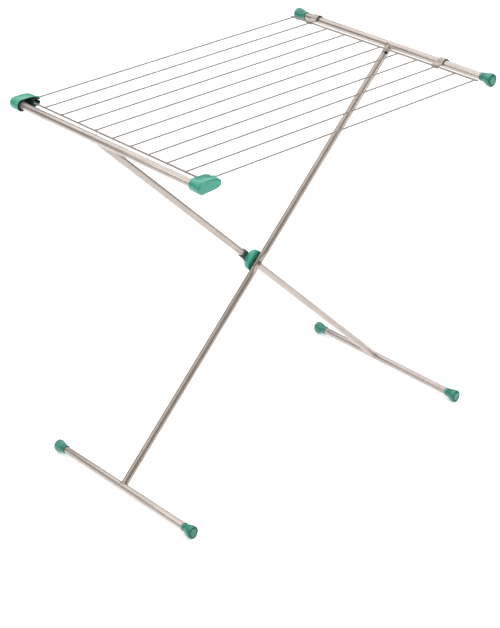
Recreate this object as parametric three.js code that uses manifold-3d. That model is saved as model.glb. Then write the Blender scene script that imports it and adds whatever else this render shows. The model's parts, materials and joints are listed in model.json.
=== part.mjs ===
// Folding clothes drying rack: two single-leg frames crossed in an X, and a grid of long wires that
// hinges on one top bar and hooks over the other. Millimetres, +Z up.
// +X runs along the wires from the hinge bar to the hook bar, +Y runs along the bars.
// The origin is on the floor, under the middle of the rack's box.
import * as THREE from 'three';
import { mergeVertices } from 'three/addons/utils/BufferGeometryUtils.js';
import Module from 'manifold-3d';

const wasm = await Module();
wasm.setup();

// ---- Driving dimensions ----------------------------------------------------------------------
const BAR_RADIUS = 10; // 20 mm steel tube for the four bars
const LEG_RADIUS = 9.5; // 19 mm steel tube for the two legs
const TUBE_WALL = 1.2;
const FIT_GAP = 0.3; // clearance between pieces that touch

const TOP_HEIGHT = 988; // wires and both top bars
const FOOT_HEIGHT = 19; // foot bar axes
const HINGE_BAR_X = -487.5; // top bar of the inner frame, which carries the grid's hinges
const HOOK_BAR_X = 478; // top bar of the outer frame, which the clips hook over
const OUTER_FOOT_X = -484; // foot bar of the outer frame, under the hinge bar
const INNER_FOOT_X = 487.5; // foot bar of the inner frame, under the hook bar
const OUTER_LEG_Y = 2;
const LEG_SPACING = 35; // between the two legs' axes, across the hub
const INNER_LEG_Y = OUTER_LEG_Y + LEG_SPACING;
const HOOK_BAR_HALF = 356; // half lengths of the tubes; the caps add 4 mm at each end
const HINGE_BAR_HALF = 350;
const FOOT_BAR_HALF = 278;
const LEG_FLAT = 0.6; // the outer leg is pressed to this share of its width at the pivot
const LEG_FLAT_LENGTH = 46;

const WIRE_COUNT = 11;
const WIRE_PITCH = 67;
const WIRE_RADIUS = 2;
const ROD_RADIUS = 2.5;
const GRID_Y = 8; // middle of the wires: the grid sits to one side between its corner caps
const HINGE_ROD_X = HINGE_BAR_X + 31; // cross rod beside the hinge bar
const HOOK_ROD_X = HOOK_BAR_X - 30.5; // cross rod beside the hook bar
const GRID_HALF = (WIRE_PITCH * (WIRE_COUNT - 1)) / 2;
const ROD_OVERHANG = 9; // the hook side's rod past the outer wires

const CAP_LENGTH = 38; // end caps of the hook bar and the foot bars
const CAP_END_WALL = 4;
const CAP_COLLAR_LENGTH = 11; // straight stretch before the flare
const CAP_COLLAR_RADIUS = 11.6;
const CAP_FLARE_RADIUS = 16.3;
const CAP_LOBE_RADIUS = FOOT_HEIGHT + 0.7; // drawn down past the floor, then cut flat on it

const CORNER_MOUTH_Y = 325; // open side of each corner cap
const CORNER_CLOSED_Y = 360; // and its closed side
const CORNER_RADIUS = 16; // round the hinge bar
const CORNER_REACH = 54; // from the hinge bar's axis to the blunt end round the outer wire
const CORNER_WALL = 2.5;
const CORNER_EDGE = 5; // rounded edge of the closed side
const CORNER_BOSS_RADIUS = 4.8; // round the wire and round the rod, where they leave the cap
const CORNER_BOSS_LENGTH = 7;

const CLIP_WIDTH = 20;
const CLIP_THICKNESS = 3.4;
const CLIP_GRIP_THICKNESS = 2;
const CLIP_TUBE_GAP = 0.5;
const CLIP_MIDDLES_Y = [-189, 282];
const CLIP_TIP_ANGLE = -24; // hook tip beyond the bar, degrees above the horizontal
const CLIP_ARM_UNDERSIDE = -1;

const HUB_RADIUS = 29;
const HUB_STRAIGHT_EDGE = 6; // the raised half stands this far from the pivot axis
const HUB_RAISED_GAP = 0.5; // between the raised half and the outer leg
const HUB_RECESS = 5;
const HUB_PLATE = 9.5;
const HUB_BOSS_RADIUS = 13;
const SLEEVE_RADIUS = 12;
const SLEEVE_HALF = 38;

const PIVOT_RADIUS = 3;
const PIVOT_HOLE_RADIUS = 3.3;
const PIVOT_HEAD_RADIUS = 4.8;
const PIVOT_HEAD_HEIGHT = 2.6;
const WASHER_RADIUS = 6.5;
const WASHER_THICKNESS = 1;
const SPACER_RADIUS = 5.6;
const NUT_RADIUS = 5.8;
const NUT_HEIGHT = 5;

const ROUND = 24; // sides of a tube
const PRESS_RINGS = 12; // rings of points along the outer leg's pressed stretch
const WIRE_ROUND = 12;

// ---- Materials -------------------------------------------------------------------------------
const enamelledSteel = { color: 0xc8beb9, roughness: 0.42, metalness: 0.1 };
const greyEnamel = { color: 0x8f8680, roughness: 0.4, metalness: 0.15 };
const coatedWire = { color: 0xb2a8a3, roughness: 0.45, metalness: 0.1 };
const greenPlastic = { color: 0x3f9f8a, roughness: 0.38, metalness: 0 };
const clipPlastic = { color: 0xb9b0a8, roughness: 0.5, metalness: 0 };
const zincSteel = { color: 0x8a8078, roughness: 0.35, metalness: 0.8 };

const rack = new THREE.Group();

/** Add one piece to the rack under its node name. */
function addPiece(name, geometry, finish) {
  const mesh = new THREE.Mesh(geometry, new THREE.MeshStandardMaterial(finish));
  mesh.name = name;
  rack.add(mesh);
}

// ---- Solids for booleans ---------------------------------------------------------------------
/** A closed three.js geometry as a solid that can be joined and cut. */
function toSolid(geometry) {
  const bare = geometry.index ? geometry.toNonIndexed() : geometry.clone();
  bare.deleteAttribute('normal');
  bare.deleteAttribute('uv');
  const merged = mergeVertices(bare, 1e-4);
  return new wasm.Manifold(
    new wasm.Mesh({
      numProp: 3,
      vertProperties: new Float32Array(merged.attributes.position.array),
      triVerts: new Uint32Array(merged.index.array),
    }),
  );
}

/** The triangles of a solid as a three.js geometry. */
function toGeometry(solid) {
  const result = solid.getMesh();
  const geometry = new THREE.BufferGeometry();
  geometry.setAttribute('position', new THREE.BufferAttribute(result.vertProperties, 3));
  geometry.setIndex(new THREE.BufferAttribute(result.triVerts, 1));
  geometry.computeVertexNormals();
  return geometry;
}

// ---- Basic shapes ----------------------------------------------------------------------------
/** A round bar between two points. */
function barBetween(start, end, radius, sides = ROUND) {
  const along = end.clone().sub(start);
  const geometry = new THREE.CylinderGeometry(radius, radius, along.length(), sides);
  const turn = new THREE.Quaternion().setFromUnitVectors(new THREE.Vector3(0, 1, 0), along.normalize());
  geometry.applyQuaternion(turn);
  const middle = start.clone().add(end).multiplyScalar(0.5);
  return geometry.translate(middle.x, middle.y, middle.z);
}

/** A round bar along Y at (x, z), from one Y to another. */
function barAlongY(x, z, fromY, toY, radius, sides = ROUND) {
  return barBetween(new THREE.Vector3(x, fromY, z), new THREE.Vector3(x, toY, z), radius, sides);
}

/** An outline drawn in X and Z, made into a slab between two Y values, its edges rounded on demand. */
function slabAlongY(shape, fromY, toY, curveSegments = 10, edge = 0) {
  const geometry = new THREE.ExtrudeGeometry(shape, {
    depth: toY - fromY - 2 * edge,
    bevelEnabled: edge > 0,
    bevelThickness: edge,
    bevelSize: edge,
    bevelOffset: -edge,
    bevelSegments: 4,
    curveSegments,
  });
  // The outline's own Y becomes Z, and its depth runs towards -Y from the far face.
  return geometry.rotateX(Math.PI / 2).translate(0, toY - edge, 0);
}

/** A straight open tube between two points, as a solid. */
function tubeSolid(start, end, radius) {
  const along = end.clone().sub(start).normalize().multiplyScalar(5);
  const outside = toSolid(barBetween(start, end, radius));
  const inside = toSolid(barBetween(start.clone().sub(along), end.clone().add(along), radius - TUBE_WALL));
  return outside.subtract(inside);
}

// ---- Places ----------------------------------------------------------------------------------
const hingeBarTop = new THREE.Vector2(HINGE_BAR_X, TOP_HEIGHT);
const hookBarTop = new THREE.Vector2(HOOK_BAR_X, TOP_HEIGHT);
const outerFoot = new THREE.Vector2(OUTER_FOOT_X, FOOT_HEIGHT);
const innerFoot = new THREE.Vector2(INNER_FOOT_X, FOOT_HEIGHT);

/** Where the two legs cross, seen along Y. */
function crossing(a0, a1, b0, b1) {
  const a = a1.clone().sub(a0);
  const b = b1.clone().sub(b0);
  const share = b0.clone().sub(a0).cross(b) / a.cross(b);
  return a0.clone().add(a.multiplyScalar(share));
}
const pivot = crossing(outerFoot, hookBarTop, innerFoot, hingeBarTop);
const outerLegDirection = hookBarTop.clone().sub(outerFoot).normalize();
const innerLegDirection = hingeBarTop.clone().sub(innerFoot).normalize();

/** A point of a leg's plane, from its X and Z and the leg's own Y. */
function inPlane(point, y) {
  return new THREE.Vector3(point.x, y, point.y);
}

// ---- Tubes -----------------------------------------------------------------------------------
/** A round bar along the outer leg, pressed flat across Y at the pivot, where it also grows wider. */
function pressedBar(radius, past) {
  const toPivot = pivot.distanceTo(outerFoot) + past;
  const length = hookBarTop.distanceTo(outerFoot) + 2 * past;
  const reach = 0.75 * LEG_FLAT_LENGTH;
  const rings = Array.from({ length: PRESS_RINGS + 1 }, (_, i) => (2 * i / PRESS_RINGS - 1) * reach);
  const heights = [0, ...rings.map((ring) => toPivot + ring), length];
  const profile = heights.map((height) => new THREE.Vector2(radius, height));
  const ends = [new THREE.Vector2(0, 0), new THREE.Vector2(0, length)];
  const geometry = new THREE.LatheGeometry([ends[0], ...profile, ends[1]], ROUND).translate(0, -toPivot, 0);
  const position = geometry.attributes.position;
  for (let i = 0; i < position.count; i += 1) {
    const distance = Math.abs(position.getY(i));
    const share = 1 - THREE.MathUtils.smoothstep(distance, 0.2 * LEG_FLAT_LENGTH, reach);
    position.setX(i, position.getX(i) * (1 + (1 - LEG_FLAT) * 0.55 * share));
    position.setZ(i, position.getZ(i) * (1 - (1 - LEG_FLAT) * share));
  }
  // The bar's own Z becomes -Y of the rack, and its own Y runs up the leg.
  const tilt = Math.atan2(outerLegDirection.x, outerLegDirection.y);
  return geometry.rotateX(Math.PI / 2).rotateY(tilt).translate(pivot.x, OUTER_LEG_Y, pivot.y);
}

/** A leg's tube, coped round its foot bar and its top bar and drilled for the pivot. */
function legTube(tube, foot, top, y) {
  let leg = tube;
  for (const bar of [foot, top]) {
    leg = leg.subtract(toSolid(barAlongY(bar.x, bar.y, y - 40, y + 40, BAR_RADIUS + FIT_GAP)));
  }
  leg = leg.subtract(toSolid(barAlongY(pivot.x, pivot.y, y - 20, y + 20, PIVOT_HOLE_RADIUS, 16)));
  return toGeometry(leg);
}

/** A bar along Y, open at both ends. */
function barTube(place, halfLength) {
  const start = new THREE.Vector3(place.x, -halfLength, place.y);
  const end = new THREE.Vector3(place.x, halfLength, place.y);
  return toGeometry(tubeSolid(start, end, BAR_RADIUS));
}

// ---- End cap ---------------------------------------------------------------------------------
/** A flared cap whose socket slips over a tube's end; its axis is +Y here, its open end at 0. */
function endCapGeometry() {
  const socket = BAR_RADIUS + FIT_GAP;
  const socketDepth = CAP_LENGTH - CAP_END_WALL;
  const flare = CAP_FLARE_RADIUS;
  const profile = [
    [0, socketDepth],
    [socket, socketDepth],
    [socket, 0],
    [CAP_COLLAR_RADIUS - 0.8, 0],
    [CAP_COLLAR_RADIUS, 0.8],
    [CAP_COLLAR_RADIUS, CAP_COLLAR_LENGTH],
    [CAP_COLLAR_RADIUS + 1.1, CAP_COLLAR_LENGTH + 2.5],
    [flare - 1.7, CAP_COLLAR_LENGTH + 8],
    [flare - 0.4, CAP_COLLAR_LENGTH + 12],
    [flare, CAP_LENGTH - 9],
    [flare - 0.7, CAP_LENGTH - 5],
    [flare - 2.3, CAP_LENGTH - 2.2],
    [flare - 5.2, CAP_LENGTH - 0.5],
    [0, CAP_LENGTH],
  ].map(([radius, along]) => new THREE.Vector2(radius, along));
  const geometry = new THREE.LatheGeometry(profile, ROUND);
  // The lower half is drawn down into a lobe, which the floor's plane then cuts flat.
  const position = geometry.attributes.position;
  for (let i = 0; i < position.count; i += 1) {
    const along = position.getY(i);
    const down = position.getZ(i);
    const outside = Math.hypot(position.getX(i), down) > socket + 0.5 || along > socketDepth + 0.1;
    const share = THREE.MathUtils.smoothstep(along, CAP_COLLAR_LENGTH, CAP_LENGTH - 10);
    if (down < 0 && outside) {
      position.setZ(i, down * (1 + (CAP_LOBE_RADIUS / flare - 1) * share));
    }
  }
  const below = new THREE.BoxGeometry(60, 60, 20).translate(0, CAP_LENGTH / 2, -FOOT_HEIGHT - 10);
  return toGeometry(toSolid(geometry).subtract(toSolid(below)));
}

/** The cap on one end of a bar: side is +1 or -1 along Y. */
function endCap(place, halfLength, side) {
  const geometry = endCapGeometry();
  if (side < 0) geometry.rotateZ(Math.PI);
  const openEnd = side * (halfLength - CAP_LENGTH + CAP_END_WALL + FIT_GAP);
  return geometry.translate(place.x, openEnd, place.y);
}

// ---- Corner cap ------------------------------------------------------------------------------
/** The corner cap's side outline about the hinge bar's axis, drawn in by an inset. */
function cornerOutline(inset) {
  const radius = CORNER_RADIUS - inset;
  const end = CORNER_REACH - inset;
  const shape = new THREE.Shape();
  shape.absarc(0, 0, radius, Math.PI / 2, 1.5 * Math.PI, false);
  shape.lineTo(32, -radius + 1.5);
  shape.quadraticCurveTo(end, -radius + 3.5, end, -5 + inset / 2);
  shape.lineTo(end, 3.5 - inset / 2);
  shape.bezierCurveTo(end - 1.5, 9 - inset, 40 - inset, radius, 20, radius);
  return shape;
}

/** One corner cap; side is +1 at the far end of the hinge bar and -1 at the near one. */
function cornerCap(side) {
  const wireY = GRID_Y + side * GRID_HALF;
  const mouthY = side * CORNER_MOUTH_Y;
  const closedY = side * CORNER_CLOSED_Y;
  const floorY = closedY - side * CORNER_WALL;
  const inward = (distance) => mouthY - side * distance;
  const slab = (shape, a, b, segments, edge) =>
    toSolid(slabAlongY(shape, Math.min(a, b), Math.max(a, b), segments, edge));
  // The outline is rounded on both sides of a longer slab, and the mouth cuts one side away.
  const past = new THREE.BoxGeometry(200, 100, 100).translate(0, inward(50), 0);
  const outside = slab(cornerOutline(0), inward(2 * CORNER_EDGE), closedY, 10, CORNER_EDGE);
  const inside = slab(cornerOutline(CORNER_WALL), inward(20), floorY, 8, CORNER_EDGE - CORNER_WALL / 2);
  // A bearing ring for the bar and a block for the wire's corner fill the closed side.
  const ringShape = new THREE.Shape().absarc(0, 0, CORNER_RADIUS - 1, 0, Math.PI * 2, false);
  const ring = slab(ringShape, mouthY + side * 12, closedY, 8);
  const blockShape = new THREE.Shape();
  blockShape.moveTo(16, -10);
  blockShape.lineTo(CORNER_REACH - 1, -8);
  blockShape.lineTo(CORNER_REACH - 1, 6);
  blockShape.lineTo(16, 12);
  const block = slab(blockShape, mouthY + side * 16, closedY);
  const rodX = HINGE_ROD_X - HINGE_BAR_X;
  const rodBoss = barAlongY(rodX, 0, inward(CORNER_BOSS_LENGTH), closedY - side * 8, CORNER_BOSS_RADIUS, 16);
  const wireBoss = barBetween(
    new THREE.Vector3(rodX, wireY, 0),
    new THREE.Vector3(CORNER_REACH + CORNER_BOSS_LENGTH, wireY, 0),
    CORNER_BOSS_RADIUS,
    16,
  );
  let cap = outside.subtract(toSolid(past)).subtract(inside);
  cap = cap.add(ring.add(block).intersect(outside)).add(toSolid(rodBoss)).add(toSolid(wireBoss));
  const barEnd = side * (HINGE_BAR_HALF + 1);
  const rodEnd = wireY + side * (ROD_RADIUS + 2);
  const holes = [
    barAlongY(0, 0, inward(20), barEnd, BAR_RADIUS + FIT_GAP),
    barAlongY(rodX, 0, inward(20), rodEnd, ROD_RADIUS + FIT_GAP, WIRE_ROUND),
    barBetween(
      new THREE.Vector3(rodX, wireY, 0),
      new THREE.Vector3(rodX + 60, wireY, 0),
      WIRE_RADIUS + FIT_GAP,
      WIRE_ROUND,
    ),
  ];
  for (const hole of holes) cap = cap.subtract(toSolid(hole));
  return toGeometry(cap.translate([HINGE_BAR_X, 0, TOP_HEIGHT]));
}

// ---- Grid ------------------------------------------------------------------------------------
/** The wires' Y values, from the far one to the near one. */
const wireYs = Array.from({ length: WIRE_COUNT }, (_, i) => GRID_Y + GRID_HALF - i * WIRE_PITCH);

/** One wire between the two cross rods. */
function wire(y) {
  const reach = ROD_RADIUS + FIT_GAP;
  return barBetween(
    new THREE.Vector3(HINGE_ROD_X + reach, y, TOP_HEIGHT),
    new THREE.Vector3(HOOK_ROD_X - reach, y, TOP_HEIGHT),
    WIRE_RADIUS,
    WIRE_ROUND,
  );
}

/** A ring sector in X and Z, between two angles in degrees. */
function sector(x, y, inner, outer, fromDegrees, toDegrees) {
  const from = THREE.MathUtils.degToRad(fromDegrees);
  const to = THREE.MathUtils.degToRad(toDegrees);
  const shape = new THREE.Shape();
  shape.absarc(x, y, outer, from, to, false);
  shape.absarc(x, y, inner, to, from, true);
  return shape;
}

/** One clip: a grip open towards the wires, an arm, and a hook over the bar. */
function clip(middleY) {
  const rod = HOOK_ROD_X - HOOK_BAR_X;
  const inner = BAR_RADIUS + CLIP_TUBE_GAP;
  const armAngle = 180 + THREE.MathUtils.radToDeg(Math.asin(-CLIP_ARM_UNDERSIDE / inner));
  const gripInner = ROD_RADIUS + FIT_GAP;
  const arm = new THREE.Shape();
  arm.moveTo(rod + gripInner + 0.6, CLIP_ARM_UNDERSIDE);
  arm.lineTo(-inner - 0.4, CLIP_ARM_UNDERSIDE);
  arm.lineTo(-inner + 0.2, 5);
  arm.lineTo(rod + gripInner + 0.2, 4);
  const outlines = [
    sector(0, 0, inner, inner + CLIP_THICKNESS, CLIP_TIP_ANGLE, armAngle),
    sector(rod, 0, gripInner, gripInner + CLIP_GRIP_THICKNESS, -125, 125),
    arm,
  ];
  const fromY = middleY - CLIP_WIDTH / 2;
  const toY = middleY + CLIP_WIDTH / 2;
  const solids = outlines.map((shape) => toSolid(slabAlongY(shape, fromY, toY, 16)));
  let body = solids.reduce((whole, next) => whole.add(next));
  const bar = barAlongY(0, 0, fromY - 5, toY + 5, inner - 0.1, 48);
  const rodSpace = barAlongY(rod, 0, fromY - 5, toY + 5, gripInner, WIRE_ROUND * 2);
  body = body.subtract(toSolid(bar)).subtract(toSolid(rodSpace));
  return toGeometry(body.translate([HOOK_BAR_X, 0, TOP_HEIGHT]));
}

// ---- Hub and pivot ---------------------------------------------------------------------------
const pressedBack = OUTER_LEG_Y + LEG_RADIUS * LEG_FLAT;
const pressedFront = OUTER_LEG_Y - LEG_RADIUS * LEG_FLAT;
const raisedFace = OUTER_LEG_Y + LEG_RADIUS + HUB_RAISED_GAP;
const recessFace = raisedFace + HUB_RECESS;
const sleeveBack = INNER_LEG_Y + SLEEVE_RADIUS;

/** The hub: a plate with a raised half-disc, on a sleeve round the inner leg. */
function hubHousing() {
  const plateShape = new THREE.Shape().absarc(0, 0, HUB_RADIUS, 0, Math.PI * 2, false);
  const plate = toSolid(slabAlongY(plateShape, recessFace, recessFace + HUB_PLATE, 18));
  // The raised half's straight edge runs along the open outer leg, on the hinge bar's side.
  const legAngle = Math.atan2(outerLegDirection.y, outerLegDirection.x);
  const halfAngle = Math.acos(HUB_STRAIGHT_EDGE / HUB_RADIUS);
  const raisedShape = new THREE.Shape();
  const middle = legAngle + Math.PI / 2;
  raisedShape.absarc(0, 0, HUB_RADIUS, middle - halfAngle, middle + halfAngle, false);
  raisedShape.closePath();
  const raised = toSolid(slabAlongY(raisedShape, raisedFace, recessFace + 1, 24));
  const bossShape = new THREE.Shape().absarc(0, 0, HUB_BOSS_RADIUS, 0, Math.PI * 2, false);
  const boss = toSolid(slabAlongY(bossShape, recessFace + 1, sleeveBack, 10));
  const direction = inPlane(innerLegDirection, 0);
  const sleeveAt = (distance) => direction.clone().multiplyScalar(distance).setY(INNER_LEG_Y);
  const sleeve = toSolid(barBetween(sleeveAt(-SLEEVE_HALF), sleeveAt(SLEEVE_HALF), SLEEVE_RADIUS));
  const bore = toSolid(barBetween(sleeveAt(-100), sleeveAt(100), LEG_RADIUS + FIT_GAP));
  const hole = toSolid(barAlongY(0, 0, -100, 100, PIVOT_HOLE_RADIUS, 16));
  const hub = plate.add(raised).add(boss).add(sleeve).subtract(bore).subtract(hole);
  return toGeometry(hub.translate([pivot.x, 0, pivot.y]));
}

/** A washer or spacer on the pivot's axis. */
function ringOnPivot(fromY, toY, radius) {
  const outside = toSolid(barAlongY(pivot.x, pivot.y, fromY, toY, radius));
  const hole = toSolid(barAlongY(pivot.x, pivot.y, fromY - 5, toY + 5, PIVOT_HOLE_RADIUS, 16));
  return toGeometry(outside.subtract(hole));
}

const headFace = pressedFront - FIT_GAP - WASHER_THICKNESS - FIT_GAP;
const rearWasherFace = sleeveBack + FIT_GAP;
const nutFace = rearWasherFace + WASHER_THICKNESS + FIT_GAP;
const boltEnd = nutFace + NUT_HEIGHT + 1.5;

/** The pivot bolt: a domed head and a plain shank through both legs. */
function pivotBolt() {
  const profile = [
    [0, 0],
    [PIVOT_RADIUS, 0],
    [PIVOT_RADIUS, boltEnd - headFace],
    [PIVOT_HEAD_RADIUS, boltEnd - headFace],
    [PIVOT_HEAD_RADIUS - 0.3, boltEnd - headFace + 0.9],
    [PIVOT_HEAD_RADIUS - 1.7, boltEnd - headFace + 2.1],
    [0, boltEnd - headFace + PIVOT_HEAD_HEIGHT],
  ].map(([radius, along]) => new THREE.Vector2(radius, along));
  // The profile's far end is the head, which faces -Y.
  const geometry = toGeometry(toSolid(new THREE.LatheGeometry(profile, 20)));
  return geometry.rotateX(Math.PI).translate(pivot.x, boltEnd, pivot.y);
}

/** A hexagon nut on the bolt's end. */
function pivotNut() {
  const outside = toSolid(barAlongY(pivot.x, pivot.y, nutFace, nutFace + NUT_HEIGHT, NUT_RADIUS, 6));
  const hole = toSolid(
    barAlongY(pivot.x, pivot.y, nutFace - 5, nutFace + NUT_HEIGHT + 5, PIVOT_RADIUS + FIT_GAP / 2, 20),
  );
  return toGeometry(outside.subtract(hole));
}

// ---- The rack --------------------------------------------------------------------------------
const outerTube = toSolid(pressedBar(LEG_RADIUS, 0)).subtract(toSolid(pressedBar(LEG_RADIUS - TUBE_WALL, 5)));
addPiece('outer_leg', legTube(outerTube, outerFoot, hookBarTop, OUTER_LEG_Y), greyEnamel);
addPiece('outer_foot_bar', barTube(outerFoot, FOOT_BAR_HALF), enamelledSteel);
addPiece('hook_bar', barTube(hookBarTop, HOOK_BAR_HALF), enamelledSteel);

const innerTube = tubeSolid(inPlane(innerFoot, INNER_LEG_Y), inPlane(hingeBarTop, INNER_LEG_Y), LEG_RADIUS);
addPiece('inner_leg', legTube(innerTube, innerFoot, hingeBarTop, INNER_LEG_Y), enamelledSteel);
addPiece('inner_foot_bar', barTube(innerFoot, FOOT_BAR_HALF), enamelledSteel);
addPiece('hinge_bar', barTube(hingeBarTop, HINGE_BAR_HALF), enamelledSteel);

for (const [end, side] of [['near', -1], ['far', 1]]) {
  addPiece(`outer_foot_cap_${end}`, endCap(outerFoot, FOOT_BAR_HALF, side), greenPlastic);
  addPiece(`inner_foot_cap_${end}`, endCap(innerFoot, FOOT_BAR_HALF, side), greenPlastic);
  addPiece(`hook_bar_cap_${end}`, endCap(hookBarTop, HOOK_BAR_HALF, side), greenPlastic);
  addPiece(`corner_cap_${end}`, cornerCap(side), greenPlastic);
}

wireYs.forEach((y, i) => addPiece(`wire_${String(i + 1).padStart(2, '0')}`, wire(y), coatedWire));

/** A cross rod that reaches a given distance past the outer wires. */
function crossRod(x, past) {
  const reach = GRID_HALF + past;
  return barAlongY(x, TOP_HEIGHT, GRID_Y - reach, GRID_Y + reach, ROD_RADIUS, WIRE_ROUND);
}
addPiece('hinge_rod', crossRod(HINGE_ROD_X, ROD_RADIUS), coatedWire);
addPiece('hook_rod', crossRod(HOOK_ROD_X, ROD_OVERHANG), coatedWire);
CLIP_MIDDLES_Y.forEach((y, i) => addPiece(`hook_clip_${['near', 'far'][i]}`, clip(y), clipPlastic));

addPiece('hub_housing', hubHousing(), greenPlastic);
addPiece('pivot_spacer', ringOnPivot(pressedBack + FIT_GAP, recessFace - FIT_GAP, SPACER_RADIUS), zincSteel);
addPiece('pivot_bolt', pivotBolt(), zincSteel);
addPiece(
  'pivot_washer_front',
  ringOnPivot(headFace + FIT_GAP, pressedFront - FIT_GAP, WASHER_RADIUS),
  zincSteel,
);
addPiece(
  'pivot_washer_rear',
  ringOnPivot(rearWasherFace, rearWasherFace + WASHER_THICKNESS, WASHER_RADIUS),
  zincSteel,
);
addPiece('pivot_nut', pivotNut(), zincSteel);

export default rack;
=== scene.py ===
"""Folding clothes drying rack: the finished surfaces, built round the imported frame."""

import json
import logging
import math
from collections.abc import Callable, Sequence
from dataclasses import dataclass, field
from enum import Enum

import bmesh
import bpy
from mathutils import Matrix, Vector


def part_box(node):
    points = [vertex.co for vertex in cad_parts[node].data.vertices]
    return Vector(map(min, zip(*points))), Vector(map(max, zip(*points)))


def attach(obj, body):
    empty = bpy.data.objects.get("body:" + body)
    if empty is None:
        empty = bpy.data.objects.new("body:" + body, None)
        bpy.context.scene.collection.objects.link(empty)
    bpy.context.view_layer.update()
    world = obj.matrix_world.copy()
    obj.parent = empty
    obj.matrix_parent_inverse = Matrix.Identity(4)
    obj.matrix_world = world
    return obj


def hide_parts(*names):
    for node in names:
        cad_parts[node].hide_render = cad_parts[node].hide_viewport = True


logging.basicConfig(level=logging.INFO, format="%(name)s: %(message)s")
log = logging.getLogger("drying_rack")

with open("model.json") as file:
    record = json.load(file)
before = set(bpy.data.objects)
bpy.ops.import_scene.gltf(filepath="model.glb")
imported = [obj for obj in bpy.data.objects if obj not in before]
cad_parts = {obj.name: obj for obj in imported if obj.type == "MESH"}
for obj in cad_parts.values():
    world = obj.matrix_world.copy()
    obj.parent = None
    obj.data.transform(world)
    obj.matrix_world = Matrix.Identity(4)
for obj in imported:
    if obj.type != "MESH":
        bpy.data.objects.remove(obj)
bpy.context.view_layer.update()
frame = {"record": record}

MM = 0.001
ROUND = 64


class Body(Enum):
    """The moving bodies of the rack."""

    INNER = "inner_frame"
    OUTER = "outer_frame"
    GRID = "grid"


class Slot(Enum):
    """The record's material slots."""

    PEARL = "pearl_enamel"
    GREY = "grey_enamel"
    WIRE = "wire_enamel"
    GREEN = "green_plastic"
    CLIP = "clip_plastic"
    ZINC = "zinc_steel"


# ---- Places, all from the frame ----------------------------------------------------------------
def middle(node: str) -> Vector:
    """The middle of a CAD node's box, in metres."""
    low, high = (Vector(corner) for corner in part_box(node))
    return (low + high) / 2


def span(node: str) -> Vector:
    """The size of a CAD node's box, in metres."""
    low, high = (Vector(corner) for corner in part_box(node))
    return high - low


def pivot_place() -> Vector:
    """The pivot's place, from the leg joint."""
    joints = {joint["name"]: joint for joint in frame["record"]["behaviour"]["joints"]}
    return Vector(joints["leg_fold"]["pos_m"])


# ---- Modelling helpers -------------------------------------------------------------------------
def only(piece: bpy.types.Object) -> bpy.types.Object:
    """Select one object alone and make it active.

    Args:
        piece: The object to work on.

    Returns:
        The same object.
    """
    if bpy.context.mode != "OBJECT":
        bpy.ops.object.mode_set(mode="OBJECT")
    bpy.ops.object.select_all(action="DESELECT")
    bpy.context.view_layer.objects.active = piece
    piece.select_set(True)
    return piece


def started(name: str) -> bpy.types.Object:
    """Name the primitive that was just added and return it."""
    piece = bpy.context.view_layer.objects.active
    piece.name = name
    piece.data.name = name
    return piece


def free_hands() -> None:
    """Deselect everything, so that the next primitive stands alone."""
    if bpy.context.mode != "OBJECT":
        bpy.ops.object.mode_set(mode="OBJECT")
    bpy.ops.object.select_all(action="DESELECT")


def turned(name: str, profile: Sequence[tuple[float, float]], sides: int = ROUND) -> bpy.types.Object:
    """A closed round solid along +Z, drawn up ring by ring from a filled circle.

    Args:
        name: The piece's name.
        profile: (height, radius) of each ring in millimetres, from the first face to the last.
        sides: Points round the ring.

    Returns:
        The solid, its axis on the world's Z axis.
    """
    free_hands()
    height, radius = profile[0]
    bpy.ops.mesh.primitive_circle_add(
        vertices=sides, radius=radius * MM, fill_type="NGON", location=(0, 0, height * MM)
    )
    piece = started(name)
    place(piece, Matrix.Identity(4))
    bpy.ops.object.mode_set(mode="EDIT")
    bpy.ops.mesh.select_mode(type="FACE")
    bpy.ops.mesh.select_all(action="SELECT")
    for next_height, next_radius in profile[1:]:
        rise = (0, 0, (next_height - height) * MM)
        bpy.ops.mesh.extrude_region_move(TRANSFORM_OT_translate={"value": rise})
        if next_radius != radius:
            grow = next_radius / radius
            bpy.ops.transform.resize(value=(grow, grow, 1), center_override=(0, 0, next_height * MM))
        height, radius = next_height, next_radius
    bpy.ops.mesh.select_all(action="SELECT")
    bpy.ops.mesh.normals_make_consistent(inside=False)
    bpy.ops.object.mode_set(mode="OBJECT")
    return piece


def slab(
    name: str, outline: Sequence[tuple[float, float]], low: float, high: float
) -> bpy.types.Object:
    """A solid with an outline in X and Z, between two Y values.

    Args:
        name: The piece's name.
        outline: (x, z) points in millimetres, in order round the shape.
        low: Its lower Y, in millimetres.
        high: Its upper Y, in millimetres.

    Returns:
        The solid.
    """
    free_hands()
    bpy.ops.mesh.primitive_circle_add(vertices=len(outline), radius=MM, fill_type="NGON")
    piece = started(name)
    for vertex, (x, z) in zip(piece.data.vertices, outline):
        vertex.co = Vector((x, low, z)) * MM
    bpy.ops.object.mode_set(mode="EDIT")
    bpy.ops.mesh.select_all(action="SELECT")
    bpy.ops.mesh.extrude_region_move(TRANSFORM_OT_translate={"value": (0, (high - low) * MM, 0)})
    bpy.ops.mesh.select_all(action="SELECT")
    bpy.ops.mesh.normals_make_consistent(inside=False)
    bpy.ops.object.mode_set(mode="OBJECT")
    return piece


def place(piece: bpy.types.Object, matrix: Matrix) -> bpy.types.Object:
    """Put a piece at its place, with the place in its mesh and the object at the origin.

    Args:
        piece: The object.
        matrix: Where it goes.

    Returns:
        The same object.
    """
    piece.matrix_world = matrix @ piece.matrix_world
    only(piece)
    bpy.ops.object.transform_apply(location=True, rotation=True, scale=True)
    return piece


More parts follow.
